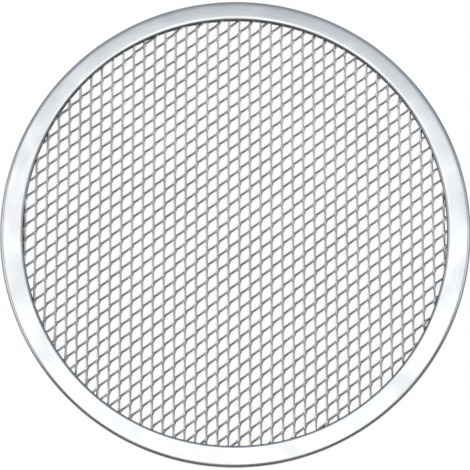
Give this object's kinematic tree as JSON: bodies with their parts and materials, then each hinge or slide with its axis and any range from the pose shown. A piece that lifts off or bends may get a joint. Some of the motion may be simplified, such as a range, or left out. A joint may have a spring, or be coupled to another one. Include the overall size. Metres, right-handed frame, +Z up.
{
  "type": "pizza screen",
  "caption": "Round flat pizza pan of expanded aluminium mesh, its edge held in a folded sheet rim, so that air and heat reach the crust from below.",
  "frame": {"origin": "centre of the pan, on the surface that it stands on", "axes": "+Z up through the mesh; +Y away from the viewer and +X to the viewer's right, as the pan was pictured"},
  "size_m": [0.254, 0.254, 0.0032],
  "materials": {
    "rim": "bright rolled sheet with a fine grain round the ring",
    "mesh": "bright expanded sheet with sheared edges"
  },
  "bodies": {
    "root": {"rim": "rim", "mesh": "mesh"}
  },
  "joints": []
}
